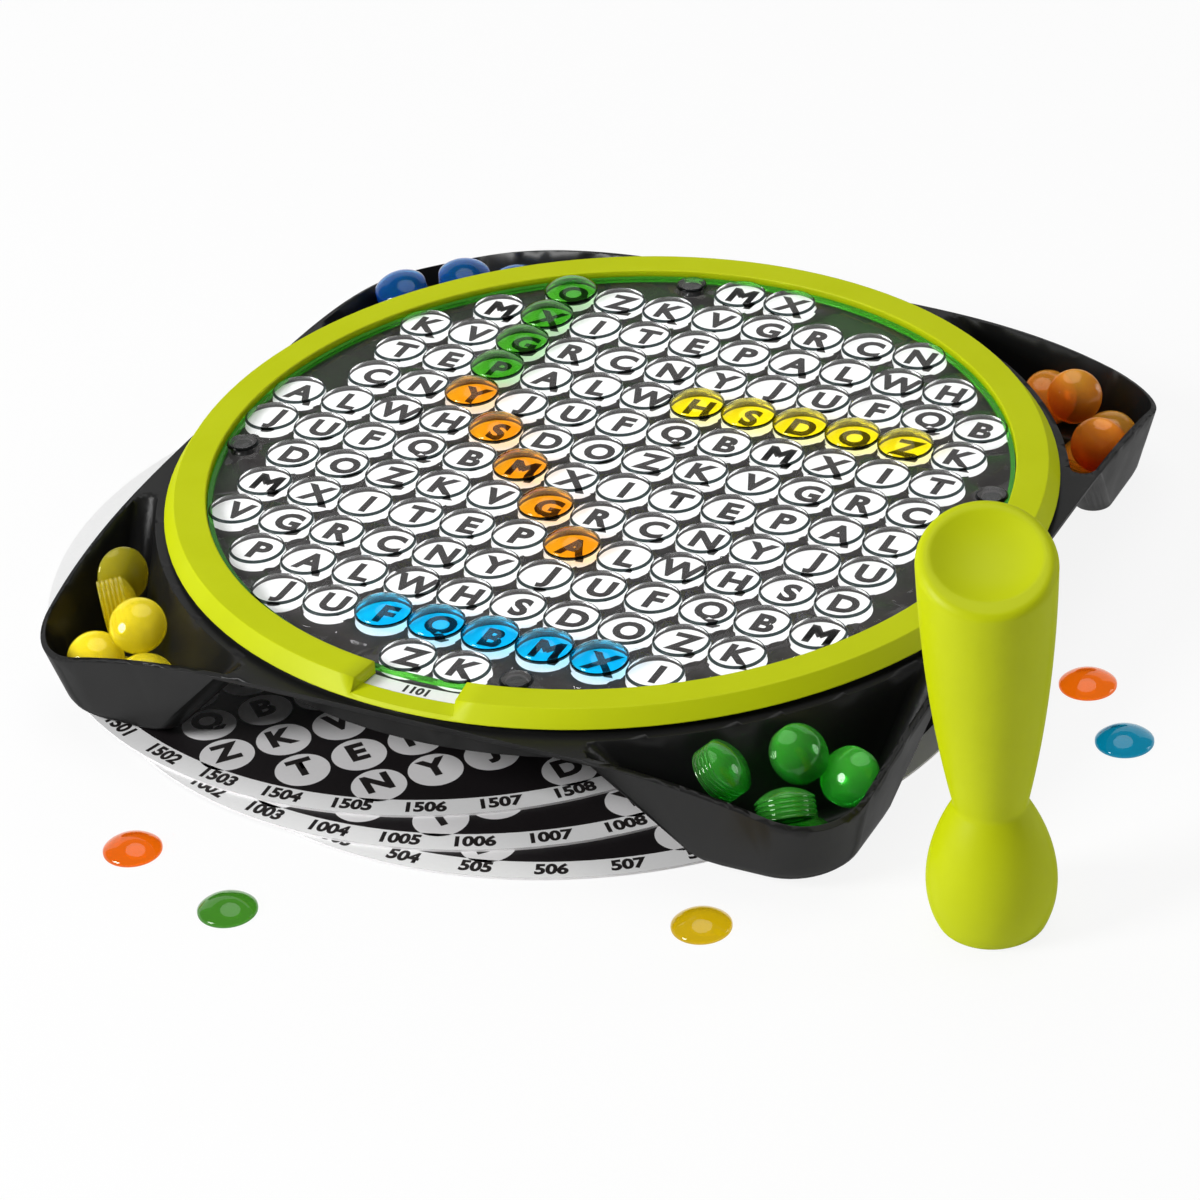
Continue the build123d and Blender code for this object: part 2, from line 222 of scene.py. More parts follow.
class BoardFinishes(bpy.types.PropertyGroup):
    """Colours of the finishes."""

    lime: colour("Lime", (0.54, 0.61, 0.004), "Ring and totem")
    black: colour("Black", (0.011, 0.011, 0.011), "Tray")
    board: colour("Board", (0.017, 0.014, 0.014), "Printed ground of the puzzle disc")
    spare: colour("Spare", (0.010, 0.008, 0.009), "Printed ground of the spare discs")
    paper: colour("Paper", (0.92, 0.92, 0.92), "White print")
    spare_paper: colour("Spare paper", (0.86, 0.85, 0.855), "Pale print of the spare discs")
    ink: colour("Ink", (0.016, 0.013, 0.013), "Letters and numbers")
    clear: colour("Clear", (0.985, 0.99, 0.988), "Clear cover")
    # Lime tint of the cover's lip: a painted reflection of the ring
    lip_painted_reflection: colour("Lip painted reflection", (0.13, 0.58, 0.07), "Lip of the cover, tinted lime as a painted reflection of the ring")
    # Near black tint of the cups' rounded edges: painted shade for their dark look
    painted_dark_edge: colour("Edge painted dark", (0.0015, 0.003, 0.003), "Rounded edges of the cups, which look dark")
    blue: colour("Blue", (0.002, 0.54, 0.86), "Blue tokens laid on the cover")
    yellow: colour("Yellow", (0.97, 0.84, 0.01), "Yellow tokens laid on the cover")
    green: colour("Green", (0.09, 0.46, 0.03), "Green tokens laid on the cover")
    orange: colour("Orange", (0.92, 0.43, 0.008), "Orange tokens laid on the cover")
    # Heaped colours where a surface faces up: lighter or darker copies of the laid ones, painted light and
    # shade in the tray
    blue_heap: colour("Blue heap", (0.001, 0.38, 0.64), "Blue tokens in their tray")
    yellow_heap: colour("Yellow heap", (0.98, 0.90, 0.08), "Yellow tokens in their tray")
    green_heap: colour("Green heap", (0.30, 0.86, 0.20), "Green tokens in their tray")
    orange_heap: colour("Orange heap", (1.0, 0.74, 0.16), "Orange tokens in their tray")
    # Painted shade colours of the heaped tokens, where their surfaces face down
    blue_deep: colour("Blue painted shade", (0.001, 0.05, 0.46), "Blue tokens where their surfaces face down")
    yellow_deep: colour("Yellow painted shade", (0.74, 0.64, 0.02), "Yellow tokens below")
    green_deep: colour("Green painted shade", (0.06, 0.56, 0.10), "Green tokens below")
    orange_deep: colour("Orange painted shade", (1.0, 0.42, 0.03), "Orange tokens below")
    # Loose colours: darker copies of the laid ones, painted shade
    blue_loose: colour("Loose blue", (0.001, 0.22, 0.36), "Blue token on the table")
    yellow_loose: colour("Loose yellow", (0.62, 0.42, 0.004), "Yellow token on the table")
    green_loose: colour("Loose green", (0.06, 0.26, 0.02), "Green token on the table")
    orange_loose: colour("Loose orange", (0.83, 0.15, 0.003), "Orange tokens on the table")


# Materials


def new_material(name):
    """An empty node material with its Principled node and output."""
    material = bpy.data.materials.new(name)
    material.use_nodes = True
    nodes = material.node_tree.nodes
    return material, nodes, material.node_tree.links, nodes["Principled BSDF"]


def object_noise(nodes, links, scale, detail=3.0):
    """Noise in object coordinates, scale in cells per metre."""
    place = nodes.new("ShaderNodeTexCoord")
    noise = nodes.new("ShaderNodeTexNoise")
    noise.inputs["Scale"].default_value = scale
    noise.inputs["Detail"].default_value = detail
    links.new(place.outputs["Object"], noise.inputs["Vector"])
    return noise


def spread(nodes, links, source, low, high):
    """The source's middle range carried to low and high."""
    remap = nodes.new("ShaderNodeMapRange")
    remap.inputs["From Min"].default_value = NOISE_LOW
    remap.inputs["From Max"].default_value = NOISE_HIGH
    remap.inputs["To Min"].default_value = low
    remap.inputs["To Max"].default_value = high
    links.new(source, remap.inputs["Value"])
    return remap.outputs["Result"]


def tinted(nodes, links, factor, base, shade):
    """The base colour going to its shade times itself by a factor."""
    mix = nodes.new("ShaderNodeMix")
    mix.data_type = "RGBA"
    mix.inputs["A"].default_value = (*base, 1)
    mix.inputs["B"].default_value = (*[channel * shade for channel in base], 1)
    links.new(factor, mix.inputs["Factor"])
    return mix.outputs["Result"]


def moulded_plastic(name, base, roughness, specular, grain):
    """Satin moulded plastic with rounded edges, a fine grain and little gloss at grazing angles."""
    material, nodes, links, shader = new_material(name)
    facing = nodes.new("ShaderNodeLayerWeight")
    gloss = spread(nodes, links, facing.outputs["Facing"], specular, GRAZING_SHARE * specular)
    links.new(gloss, shader.inputs["Specular IOR Level"])
    patches = object_noise(nodes, links, MOTTLE_SCALE).outputs["Fac"]
    links.new(tinted(nodes, links, patches, base, MOULD_SHADE), shader.inputs["Base Color"])
    low, high = roughness - MOULD_ROUGHNESS_RANGE, roughness + MOULD_ROUGHNESS_RANGE
    links.new(spread(nodes, links, patches, low, high), shader.inputs["Roughness"])
    bevel = nodes.new("ShaderNodeBevel")
    bevel.samples = BEVEL_SAMPLES
    bevel.inputs["Radius"].default_value = MOULD_EDGE_RADIUS
    fine = object_noise(nodes, links, GRAIN_SCALE, detail=2.0)
    bump = nodes.new("ShaderNodeBump")
    bump.inputs["Strength"].default_value = grain
    bump.inputs["Distance"].default_value = GRAIN_DEPTH
    links.new(fine.outputs["Fac"], bump.inputs["Height"])
    links.new(bevel.outputs["Normal"], bump.inputs["Normal"])
    links.new(bump.outputs["Normal"], shader.inputs["Normal"])
    return material


def coated_card(name, base, roughness):
    """Printed, coated card with a faint mottle."""
    material, nodes, links, shader = new_material(name)
    fibres = object_noise(nodes, links, FIBRE_SCALE, detail=4.0).outputs["Fac"]
    links.new(tinted(nodes, links, fibres, base, CARD_SHADE), shader.inputs["Base Color"])
    low, high = roughness - CARD_ROUGHNESS_RANGE, roughness + CARD_ROUGHNESS_RANGE
    links.new(spread(nodes, links, fibres, low, high), shader.inputs["Roughness"])
    return material


def painted_facing_light(nodes, links, base, deep):
    """Painted light and shade: the base colour where a surface faces up, going to a painted shade colour
    where it faces down, in soft random patches.
    """
    surface = nodes.new("ShaderNodeNewGeometry")
    axes = nodes.new("ShaderNodeSeparateXYZ")
    links.new(surface.outputs["Normal"], axes.inputs["Vector"])
    patches = object_noise(nodes, links, PATCH_SCALE)
    height = nodes.new("ShaderNodeMath")
    height.operation = "MULTIPLY_ADD"
    height.inputs[1].default_value = PAINTED_LIGHT_SLOPE
    links.new(axes.outputs["Z"], height.inputs[0])
    links.new(spread(nodes, links, patches.outputs["Fac"], PAINTED_LIGHT_LOW, PAINTED_LIGHT_HIGH), height.inputs[2])
    mix = nodes.new("ShaderNodeMix")
    mix.data_type = "RGBA"
    mix.inputs["A"].default_value = (*deep, 1)
    mix.inputs["B"].default_value = (*base, 1)
    links.new(spread(nodes, links, height.outputs["Value"], 0.0, 1.0), mix.inputs["Factor"])
    return mix.outputs["Result"]


def clear_plastic(name, base, index, transmission, gloss, shade, coat=0.0, deep=None):
    """See-through plastic, which takes a shade of its tint from the lamps' light on its way through."""
    material, nodes, links, shader = new_material(name)
    # With a painted shade colour, upward faces get painted light and downward faces painted shade
    if deep is None:
        shader.inputs["Base Color"].default_value = (*base, 1)
    else:
        links.new(painted_facing_light(nodes, links, base, deep), shader.inputs["Base Color"])
    shader.inputs["Transmission Weight"].default_value = transmission
    shader.inputs["IOR"].default_value = index
    shader.inputs["Coat Weight"].default_value = coat
    shader.inputs["Coat Roughness"].default_value = COAT_ROUGHNESS
    haze = object_noise(nodes, links, HAZE_SCALE).outputs["Fac"]
    links.new(spread(nodes, links, haze, gloss, gloss + HAZE_RANGE), shader.inputs["Roughness"])
    path = nodes.new("ShaderNodeLightPath")
    film = nodes.new("ShaderNodeBsdfTransparent")
    film.inputs["Color"].default_value = (*[1 - shade * (1 - channel) for channel in base], 1)
    mix = nodes.new("ShaderNodeMixShader")
    links.new(path.outputs["Is Shadow Ray"], mix.inputs["Fac"])
    links.new(shader.outputs["BSDF"], mix.inputs[1])
    links.new(film.outputs["BSDF"], mix.inputs[2])
    links.new(mix.outputs["Shader"], nodes["Material Output"].inputs["Surface"])
    return material


# Mesh helpers


def linked(name, data):
    """A new object in the scene."""
    holder = bpy.data.objects.new(name, data)
    bpy.context.scene.collection.objects.link(holder)
    return holder


def evaluated_mesh(holder):
    """The plain mesh that an object comes to, with the object taken away."""
    graph = bpy.context.evaluated_depsgraph_get()
    mesh = bpy.data.meshes.new_from_object(holder.evaluated_get(graph))
    bpy.data.objects.remove(holder)
    return mesh


def mesh_from(bm, name):
    """The mesh of a bmesh, which is then freed."""
    mesh = bpy.data.meshes.new(name)
    bm.to_mesh(mesh)
    bm.free()
    return mesh


def smoothed(mesh):
    """A mesh set smooth, but for its sharp edges."""
    mesh.polygons.foreach_set("use_smooth", [True] * len(mesh.polygons))
    mesh.set_sharp_from_angle(angle=SMOOTH_ANGLE)
    return mesh


def add_piece(name, mesh, body, slot, *materials):
    """Link a finished mesh as a piece that rides on a body."""
    piece = linked(name, mesh)
    faces = [face.material_index for face in mesh.polygons]
    mesh.materials.clear()
    for material in materials:
        mesh.materials.append(material)
    mesh.polygons.foreach_set("material_index", [min(index, len(materials) - 1) for index in faces])
    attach(piece, body)
    return piece


def finish_mesh(bm, name):
    """Turn a bmesh into a smooth mesh with outward faces."""
    bmesh.ops.remove_doubles(bm, verts=bm.verts, dist=MERGE_DISTANCE)
    bmesh.ops.recalc_face_normals(bm, faces=bm.faces)
    return smoothed(mesh_from(bm, name))


def smooth_copy(node):
    """A merged and smoothed copy of a node's mesh."""
    bm = bmesh.new()
    bm.from_mesh(frame["nodes"][node].data)
    bmesh.ops.remove_doubles(bm, verts=bm.verts, dist=MERGE_DISTANCE)
    return evenly_shaded(smoothed(mesh_from(bm, node + "_skin")))


def evenly_shaded(mesh):
    """A copy of a mesh in which large flat faces keep their own normals."""
    holder = linked("shaded", mesh)
    weighted = holder.modifiers.new("Weighted", "WEIGHTED_NORMAL")
    weighted.keep_sharp = True
    shaded = evaluated_mesh(holder)
    shaded.name = mesh.name
    bpy.data.meshes.remove(mesh)
    return shaded


def body_of(node):
    """The body that a node belongs to."""
    for body, nodes in frame["record"]["behaviour"]["bodies"].items():
        if node in nodes:
            return body
    raise KeyError(node)


def slot_of(node):
    """The material slot that the record gives a node."""
    for part in frame["record"]["subparts"]:
        if part["node"] == node:
            return part["material_slot"]
    raise KeyError(node)


def dress(node, material, rim=None):
    """Stand a smooth skin in for a node, its upright faces in the rim's finish if there is one."""
    mesh = smooth_copy(node)
    finishes = [material]
    if rim is not None:
        finishes.append(rim)
        upright = [int(abs(face.normal.z) < UPRIGHT_LIMIT) for face in mesh.polygons]
        mesh.polygons.foreach_set("material_index", upright)
    skin = add_piece(node + "_skin", mesh, body_of(node), slot_of(node), *finishes)
    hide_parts(node)


def ring_points(radius, height, count, centre=(0.0, 0.0)):
    """Points of a level circle."""
    return [
        Vector(
            (
                centre[0] + radius * math.cos(math.tau * step / count),
                centre[1] + radius * math.sin(math.tau * step / count),
                height,
            )
        )
        for step in range(count)
    ]


def bridge(bm, lower, upper, finish=0):
    """Quads between two rings of vertices with equal counts."""
    count = len(lower)
    for step in range(count):
        after = (step + 1) % count
        face = bm.faces.new((lower[step], lower[after], upper[after], upper[step]))
        face.material_index = finish


def cell_places(pitch):
    """Every cell as x, y, column and row, counted from the board's lower left."""
    places = []
    last = len(ROW_CELL_COUNTS)
    for row, count in enumerate(ROW_CELL_COUNTS):
        for side in (-1, 1):
            for column in range(-count, count):
                x = (column + 0.5) * pitch
                y = side * (row + 0.5) * pitch
                places.append((x, y, column + last, side * row + last + (0 if side > 0 else -1)))
    return places


def cell_points(name, height, offset):
    """Loose vertices at the cells, each with the number of its letter."""
    places = cell_places(bpy.context.scene.board_sizes.cell_pitch)
    mesh = bpy.data.meshes.new(name)
    mesh.from_pydata([(x, y, height) for x, y, _, _ in places], [], [])
    letters = mesh.attributes.new("letter", "INT", "POINT")
    orders = [LETTERS_PER_COLUMN * column + LETTERS_PER_ROW * row + offset for _, _, column, row in places]
    letters.data.foreach_set("value", [order % len(ALPHABET) for order in orders])
    return mesh


def thickened(mesh, weight):
    """A flat shape set over itself at a square's corners, for a letter that an offset would break."""
    bm = bmesh.new()
    for x, y in ((-1, -1), (-1, 1), (1, -1), (1, 1)):
        shifted = mesh.copy()
        shifted.transform(Matrix.Translation((x * weight, y * weight, 0)))
        bm.from_mesh(shifted)
        bpy.data.meshes.remove(shifted)
    bm.to_mesh(mesh)
    bm.free()
    return mesh


def centred_glyphs(text, height, weight):
    """A flat mesh of a text, its capitals of a given height, centred at the origin."""
    curve = bpy.data.curves.new("glyphs", "FONT")
    curve.body = text
    curve.offset = 0.0 if text == "M" else weight
    curve.resolution_u = LETTER_CURVE_STEPS
    mesh = evaluated_mesh(linked("glyphs", curve))
    bpy.data.curves.remove(curve)
    if text == "M":
        mesh = thickened(mesh, weight)
    xs = [v.co.x for v in mesh.vertices]
    ys = [v.co.y for v in mesh.vertices]
    centre = Vector(((min(xs) + max(xs)) / 2, (min(ys) + max(ys)) / 2, 0))
    cap_height = FONT_CAP_HEIGHT + 2 * weight
    mesh.transform(Matrix.Scale(height / cap_height, 4) @ Matrix.Translation(-centre))
    return mesh


# Geometry node trees


def socket_input(tree, name, kind):
    """Add a named input to a node tree and return its identifier."""
    return tree.interface.new_socket(name, in_out="INPUT", socket_type=kind).identifier


def scatter_tree(name, pick):
    """A tree that sets a shape, or one letter of a collection, on every point."""
    tree = bpy.data.node_groups.new(name, "GeometryNodeTree")
    ids = {"Geometry": socket_input(tree, "Geometry", "NodeSocketGeometry")}
    if pick:
        ids["Letters"] = socket_input(tree, "Letters", "NodeSocketCollection")
    else:
        ids["Shape"] = socket_input(tree, "Shape", "NodeSocketObject")
    ids["Material"] = socket_input(tree, "Material", "NodeSocketMaterial")
    tree.interface.new_socket("Geometry", in_out="OUTPUT", socket_type="NodeSocketGeometry")
    nodes, links = tree.nodes, tree.links
    entry = nodes.new("NodeGroupInput")
    result = nodes.new("NodeGroupOutput")
    instance = nodes.new("GeometryNodeInstanceOnPoints")
    if pick:
        source = nodes.new("GeometryNodeCollectionInfo")
        source.inputs["Separate Children"].default_value = True
        source.inputs["Reset Children"].default_value = True
        links.new(entry.outputs["Letters"], source.inputs["Collection"])
        links.new(source.outputs["Instances"], instance.inputs["Instance"])
        letter = nodes.new("GeometryNodeInputNamedAttribute")
        letter.data_type = "INT"
        letter.inputs["Name"].default_value = "letter"
        instance.inputs["Pick Instance"].default_value = True
        links.new(letter.outputs["Attribute"], instance.inputs["Instance Index"])
    else:
        source = nodes.new("GeometryNodeObjectInfo")
        links.new(entry.outputs["Shape"], source.inputs["Object"])
        links.new(source.outputs["Geometry"], instance.inputs["Instance"])
    realize = nodes.new("GeometryNodeRealizeInstances")
    paint = nodes.new("GeometryNodeSetMaterial")
    links.new(entry.outputs["Geometry"], instance.inputs["Points"])
    links.new(instance.outputs["Instances"], realize.inputs["Geometry"])
    links.new(realize.outputs["Geometry"], paint.inputs["Geometry"])
    links.new(entry.outputs["Material"], paint.inputs["Material"])
    links.new(paint.outputs["Geometry"], result.inputs["Geometry"])
    return tree, ids


def run_tree(tree, ids, points, values):
    """The plain mesh that a tree makes of some points."""
    holder = linked("scatter", points)
    modifier = holder.modifiers.new("Scatter", "NODES")
    modifier.node_group = tree
    for name, value in values.items():
        modifier[ids[name]] = value
    return evaluated_mesh(holder)


# Printed discs


def printed_circle(radius):
    """A shape object for one printed circle."""
    bm = bmesh.new()
    bm.faces.new([bm.verts.new(point) for point in ring_points(radius, 0, CIRCLE_STEPS)])
    return linked("printed_circle", mesh_from(bm, "printed_circle"))


def letter_collection(sizes):
    """A collection of one flat shape for each capital letter."""
    letters = bpy.data.collections.new("letters")
    bpy.context.scene.collection.children.link(letters)
    for letter in ALPHABET:
        glyph = centred_glyphs(letter, sizes.letter_height, LETTER_WEIGHT)
        glyph.transform(Matrix.Translation((0, sizes.letter_rise, 0)))
        letters.objects.link(bpy.data.objects.new("letter_" + letter, glyph))
    return letters


def rim_band(radius, width, height):
    """A flat ring along the edge of a disc."""
    bm = bmesh.new()
    outer = [bm.verts.new(point) for point in ring_points(radius, height, BAND_STEPS)]
    inner = [bm.verts.new(point) for point in ring_points(radius - width, height, BAND_STEPS)]
    bridge(bm, outer, inner)
    return mesh_from(bm, "rim_band")


def rim_numbers(sizes, radius, width, height, first, angles):
    """Numbers at some angles along a band at the rim, their heads towards the middle."""
    middle = radius - NUMBER_PLACE_SHARE * width
    bm = bmesh.new()
    for step, angle in enumerate(angles):
        number = str(100 * first + step + 1)
        glyphs = centred_glyphs(number, sizes.number_share * width, NUMBER_WEIGHT)
        place = Matrix.Translation((middle * math.cos(angle), middle * math.sin(angle), height))
        glyphs.transform(place @ Matrix.Rotation(angle + math.pi / 2, 4, "Z"))
        bm.from_mesh(glyphs)
        bpy.data.meshes.remove(glyphs)
    return mesh_from(bm, "rim_numbers")


def print_disc(node, turn, series, band_width, angles, finishes, letters, circle):
    """Print circles, letters, rim band and numbers on a disc's upper face, its circles turned."""
    sizes = bpy.context.scene.board_sizes
    low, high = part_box(node)
    centre = (low + high) / 2
    radius = (high.x - low.x) / 2
    place = Matrix.Translation((centre.x, centre.y, high.z))
    circle_tree, circle_ids = scatter_tree("Circles on cells", pick=False)
    letter_tree, letter_ids = scatter_tree("Letters on cells", pick=True)
    layers = {
        "circles": run_tree(
            circle_tree,
            circle_ids,
            cell_points(node + "_cells", sizes.ink_lift, series),
            {"Shape": circle, "Material": finishes["circles"]},
        ),
        "letters": run_tree(
            letter_tree,
            letter_ids,
            cell_points(node + "_cells", 2 * sizes.ink_lift, series),
            {"Letters": letters, "Material": finishes["letters"]},
        ),
        "band": rim_band(radius, band_width, sizes.ink_lift),
        "numbers": rim_numbers(sizes, radius, band_width, 2 * sizes.ink_lift, series, angles),
    }
    for layer in ("circles", "letters"):
        layers[layer].transform(Matrix.Rotation(turn, 4, "Z"))
    for layer, mesh in layers.items():
        mesh.transform(place)
        add_piece(f"{node}_{layer}", mesh, body_of(node), slot_of(node), finishes[layer])


class BOARD_OT_print_discs(bpy.types.Operator):
    """Print the puzzle disc and the spare discs"""

    bl_idname = "board.print_discs"
    bl_label = "Print discs"

    def execute(self, context):
        sizes = context.scene.board_sizes
        finishes = context.scene.board_finishes
        board = coated_card("board card", finishes.board, roughness=0.5)
        spare = coated_card("spare card", finishes.spare, roughness=0.45)
        paper = coated_card("white print", finishes.paper, roughness=0.5)
        spare_paper = coated_card("pale print", finishes.spare_paper, roughness=0.5)
        ink = coated_card("letter ink", finishes.ink, roughness=0.45)
        board_print = {"circles": paper, "letters": ink, "band": paper, "numbers": ink}
        spare_print = {**board_print, "circles": spare_paper}
        circle = printed_circle(sizes.circle_diameter / 2)
        letters = letter_collection(sizes)
        label_step = math.tau / sizes.label_numbers
        round_rim = [label_step * step - math.pi / 2 for step in range(sizes.label_numbers)]
        front = [FIRST_BAND_ANGLE + sizes.band_spacing * step for step in range(sizes.band_numbers)]
        dress("puzzle_disc", board)
        print_disc(
            "puzzle_disc", 0.0, PUZZLE_SERIES, sizes.label_width, round_rim, board_print, letters, circle
        )
        for number, turn in SPARE_TURNS.items():
            node = f"spare_disc_{number}"
            series = SPARE_SERIES_STEP * number
            dress(node, spare, spare_paper)
            print_disc(node, turn, series, sizes.band_width, front, spare_print, letters, circle)
        bpy.data.objects.remove(circle)
        for shape in list(letters.objects):
            bpy.data.objects.remove(shape)
        bpy.data.collections.remove(letters)
        return {"FINISHED"}


# Clear cover


def fill_plate(bm, radius, height, count, holes):
    """A flat disc with round holes, each given as a centre, a radius and a count of points."""
    points = []
    edges = []
    for centre, hole_radius, steps in [((0.0, 0.0), radius, count), *holes]:
        start = len(points)
        points += [p.to_2d() for p in ring_points(hole_radius, height, steps, centre)]
        edges += [(start + i, start + (i + 1) % steps) for i in range(steps)]
    places, _, faces, _, _, _ = delaunay_2d_cdt(points, edges, [], 0, PLATE_TOLERANCE)
    verts = [bm.verts.new((p.x, p.y, height)) for p in places]
    for face in faces:
        x, y = sum((places[i] for i in face), Vector((0, 0))) / 3
        if all(math.hypot(x - cx, y - cy) > r * HOLE_SHARE for (cx, cy), r, _ in holes):
            bm.faces.new([verts[i] for i in face])


def raise_cup(bm, centre, radius, floor, top, edge, count):
    """Wall, rounded edge and flat top of one cup."""
    heights = [(radius, floor)]
    for step in range(CUP_EDGE_STEPS + 1):
        angle = math.pi / 2 * step / CUP_EDGE_STEPS
        heights.append((radius - edge * (1 - math.cos(angle)), top - edge * (1 - math.sin(angle))))
    rings = [[bm.verts.new(p) for p in ring_points(r, z, count, centre)] for r, z in heights]
    for level, (lower, upper) in enumerate(zip(rings, rings[1:])):
        # The rounded edge takes the second finish, which on the cover is the edge painted dark as painted
        # shade
        bridge(bm, lower, upper, min(level, 1))
    bm.faces.new(rings[-1])


def peg_places():
    """Centres of the bosses, which lie as far out as the middle rows' end cells, a quarter turn apart."""
    pitch = bpy.context.scene.board_sizes.cell_pitch
    far_cell = math.hypot((ROW_CELL_COUNTS[0] - 0.5) * pitch, pitch / 2)
    x, y = PEG_COLUMN * pitch, -far_cell
    places = []
    for _ in range(PEG_COUNT):
        places.append((x, y))
        x, y = -y, x
    return places


def clear_cover_mesh():
    """One closed body: sheet, cups and bosses with their recesses."""
    sizes = bpy.context.scene.board_sizes
    low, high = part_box("clear_cover")
    bottom = low.z + sizes.cover_lift
    sheet_top = high.z - sizes.cup_height
    radius = high.x
    bm = bmesh.new()
    cups = [((x, y), sizes.cup_diameter / 2, CUP_STEPS) for x, y, _, _ in cell_places(sizes.cell_pitch)]
    cups += [(place, sizes.boss_diameter / 2, BOSS_STEPS) for place in peg_places()]
    fill_plate(bm, radius, sheet_top, COVER_STEPS, cups)
    for place, cup_radius, count in cups:
        raise_cup(bm, place, cup_radius, sheet_top, high.z, sizes.cup_edge, count)
    recess, recess_top = sizes.recess_diameter / 2, high.z - sizes.recess_roof
    fill_plate(bm, radius, bottom, COVER_STEPS, [(place, recess, RECESS_STEPS) for place in peg_places()])
    for place in peg_places():
        mouth = [bm.verts.new(p) for p in ring_points(recess, bottom, RECESS_STEPS, place)]
        roof = [bm.verts.new(p) for p in ring_points(recess, recess_top, RECESS_STEPS, place)]
        bridge(bm, mouth, roof)
        bm.faces.new(roof)
    under = [bm.verts.new(p) for p in ring_points(radius, bottom, COVER_STEPS)]
    upper = [bm.verts.new(p) for p in ring_points(radius, sheet_top, COVER_STEPS)]
    bridge(bm, under, upper)
    return finish_mesh(bm, "clear_cover_skin")


def cover_lip_mesh():
    """The low wall along the edge of the sheet."""
    sizes = bpy.context.scene.board_sizes
    _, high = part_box("clear_cover")
    floor = high.z - sizes.cup_height + sizes.ink_lift
    top = floor + sizes.lip_height - sizes.ink_lift
    inner, outer = high.x - sizes.lip_width, high.x
    corners = [(outer, floor), (outer, top), (inner, top), (inner, floor)]
    bm = bmesh.new()
    rings = [[bm.verts.new(p) for p in ring_points(r, z, COVER_STEPS)] for r, z in corners]
    for one, other in zip(rings, rings[1:] + rings[:1]):
        bridge(bm, one, other)
    return finish_mesh(bm, "clear_cover_lip")


class BOARD_OT_clear_cover(bpy.types.Operator):
    """Build the clear cover with its cups"""

    bl_idname = "board.clear_cover"
    bl_label = "Clear cover"

    def execute(self, context):
        finishes = context.scene.board_finishes
        clear = clear_plastic(
            "clear plastic", finishes.clear, COVER_INDEX, transmission=1.0, gloss=0.0, shade=1.0
        )
        # Near black rounded cup edges: painted shade
        edge = clear_plastic(
            "clear plastic edge", finishes.painted_dark_edge, COVER_INDEX, transmission=1.0, gloss=0.0, shade=0.2
        )
        cover = add_piece("clear_cover_skin", clear_cover_mesh(), "cover", "clear_plastic", clear, edge)
        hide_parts("clear_cover")
        # Lime tinted lip: a painted reflection of the ring
        lip = clear_plastic(
            "clear plastic lip", finishes.lip_painted_reflection, COVER_INDEX, LIP_CLARITY, gloss=0.02, shade=0.3
        )
        add_piece("clear_cover_lip", cover_lip_mesh(), "cover", "clear_plastic", lip)
        return {"FINISHED"}


# Tray, ring, totem and tokens


class BOARD_OT_tray_and_ring(bpy.types.Operator):
    """Dress the square tray, the turning ring and the totem"""

    bl_idname = "board.tray_and_ring"
    bl_label = "Tray and ring"

    def execute(self, context):
        finishes = context.scene.board_finishes
        black = moulded_plastic(
            "black satin plastic", finishes.black, roughness=0.34, specular=0.22, grain=0.10
        )
        lime = moulded_plastic(
            "lime satin plastic", finishes.lime, roughness=0.44, specular=0.15, grain=0.06
        )
        dress("base_tray", black)
        dress("turning_ring", lime)
        dress("totem", lime)
        return {"FINISHED"}


class BOARD_OT_tokens(bpy.types.Operator):
    """Dress the laid, loose and heaped tokens"""

    bl_idname = "board.tokens"
    bl_label = "Tokens"

    def execute(self, context):
        finishes = context.scene.board_finishes
        for name in COLOURS:
            tint, table_shaded_tint, heap_tint, painted_shade_tint = (
                getattr(finishes, name + kind) for kind in ("", "_loose", "_heap", "_deep")
            )
            # A laid token's upright rim gets a near black share of its colour, a painted dark outline
            painted_rim_shade = [PAINTED_RIM_SHARE * channel for channel in tint]
            single = (1.0, TOKEN_GLOSS, TOKEN_SHADE)
            laid = clear_plastic(name + " token plastic", tint, TOKEN_INDEX, *single, LAID_COAT)
            # Loose tokens take darker copies of the laid colours, painted shade
            loose = clear_plastic(name + " loose plastic", table_shaded_tint, TOKEN_INDEX, *single, LOOSE_COAT)
            rim = clear_plastic(name + " token rim", painted_rim_shade, RIM_INDEX, *single)
            heap = (HEAP_CLARITY[name], TOKEN_GLOSS, HEAP_SHADE)
            # Heaped tokens: painted light where they face up, painted shade where they face down
            heaped = clear_plastic(
                name + " heaped plastic", heap_tint, HEAP_INDEX, *heap, deep=painted_shade_tint
            )
            for node in sorted(frame["nodes"]):
                if name + "_heap" == node:
                    dress(node, heaped)
                elif node.startswith(name):
                    dress(node, laid, rim)
                elif name in node:
                    dress(node, loose)
        return {"FINISHED"}


# Stage


def soft_lamp(name, place, target, size, power):
    """A round area lamp that looks at a target."""
    lamp = bpy.data.lights.new(name, "AREA")
    lamp.shape = "DISK"
    lamp.size = size
    lamp.energy = power
    holder = linked(name, lamp)
    holder.location = place
    holder.rotation_euler = (Vector(target) - Vector(place)).to_track_quat("-Z", "Y").to_euler()


